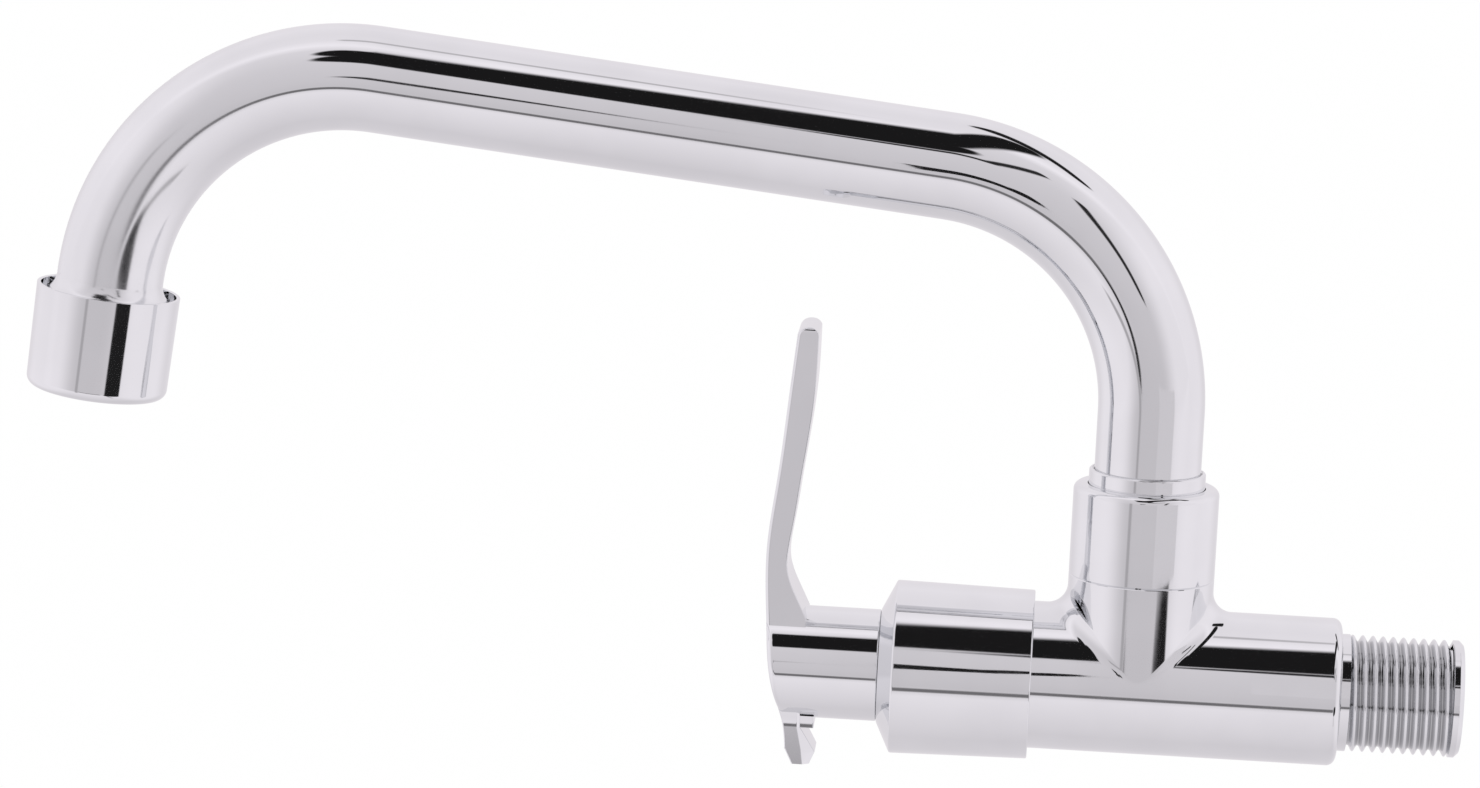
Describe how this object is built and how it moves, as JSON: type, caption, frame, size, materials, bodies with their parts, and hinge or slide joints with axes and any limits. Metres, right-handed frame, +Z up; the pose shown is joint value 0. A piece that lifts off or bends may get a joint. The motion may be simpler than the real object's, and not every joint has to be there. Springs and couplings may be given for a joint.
{
  "type": "wall faucet",
  "caption": "Wall-mounted single-lever tap in polished chrome: threaded inlet, tee body, quarter-turn lever handle and an arched swivel spout with an aerator.",
  "frame": {"origin": "on the inlet axis at the barrel's shoulder, where the inlet thread starts and the wall's face lies", "axes": "+X along the inlet thread into the wall, +Z up along the branch, the spout reaches out on the -X side; the X-Z plane is the plane of symmetry"},
  "size_m": [0.2599, 0.031, 0.1287],
  "materials": {
    "polished_chrome": "mirror-polished nickel-chrome plating on brass",
    "turned_brass": "machined brass with fine turning marks",
    "black_rubber": "moulded nitrile rubber, satin",
    "alumina_ceramic": "lapped white alumina ceramic",
    "stainless_steel": "bright stainless steel",
    "white_acetal": "turned white acetal",
    "grey_acetal": "moulded grey acetal"
  },
  "bodies": {
    "tap_body": {"tee_body": "polished_chrome", "spout_nut": "polished_chrome", "seat_seal": "black_rubber", "fixed_ceramic_disc": "alumina_ceramic", "headwork_body": "turned_brass", "headwork_o_ring": "black_rubber", "trim_cap": "polished_chrome", "cap_o_ring": "black_rubber"},
    "handle": {"lever_handle": "polished_chrome", "index_plug": "polished_chrome", "handle_screw": "stainless_steel", "handle_screw_washer": "stainless_steel", "spindle": "turned_brass", "spindle_o_rings": "black_rubber", "spindle_clip": "stainless_steel", "spindle_slip_washer": "white_acetal", "moving_ceramic_disc": "alumina_ceramic"},
    "spout": {"spout_pipe": "polished_chrome", "spout_tail_bush": "polished_chrome", "spout_o_rings": "black_rubber", "spout_thrust_washer": "white_acetal", "spout_glide_ring": "white_acetal", "outlet_ferrule": "polished_chrome", "aerator_housing": "polished_chrome", "aerator_seal_washer": "black_rubber", "aerator_diffuser": "grey_acetal", "aerator_screens": "stainless_steel", "aerator_insert": "grey_acetal"}
  },
  "joints": [
    {"name": "handle_turn", "type": "hinge", "parent": "tap_body", "child": "handle", "pos_m": [-0.09, 0, 0], "axis": [1, 0, 0], "range_deg": [0, 90]},
    {"name": "spout_swivel", "type": "hinge", "parent": "tap_body", "child": "spout", "pos_m": [-0.0363, 0, 0.027], "axis": [0, 0, 1], "range_deg": [-90, 90]}
  ]
}
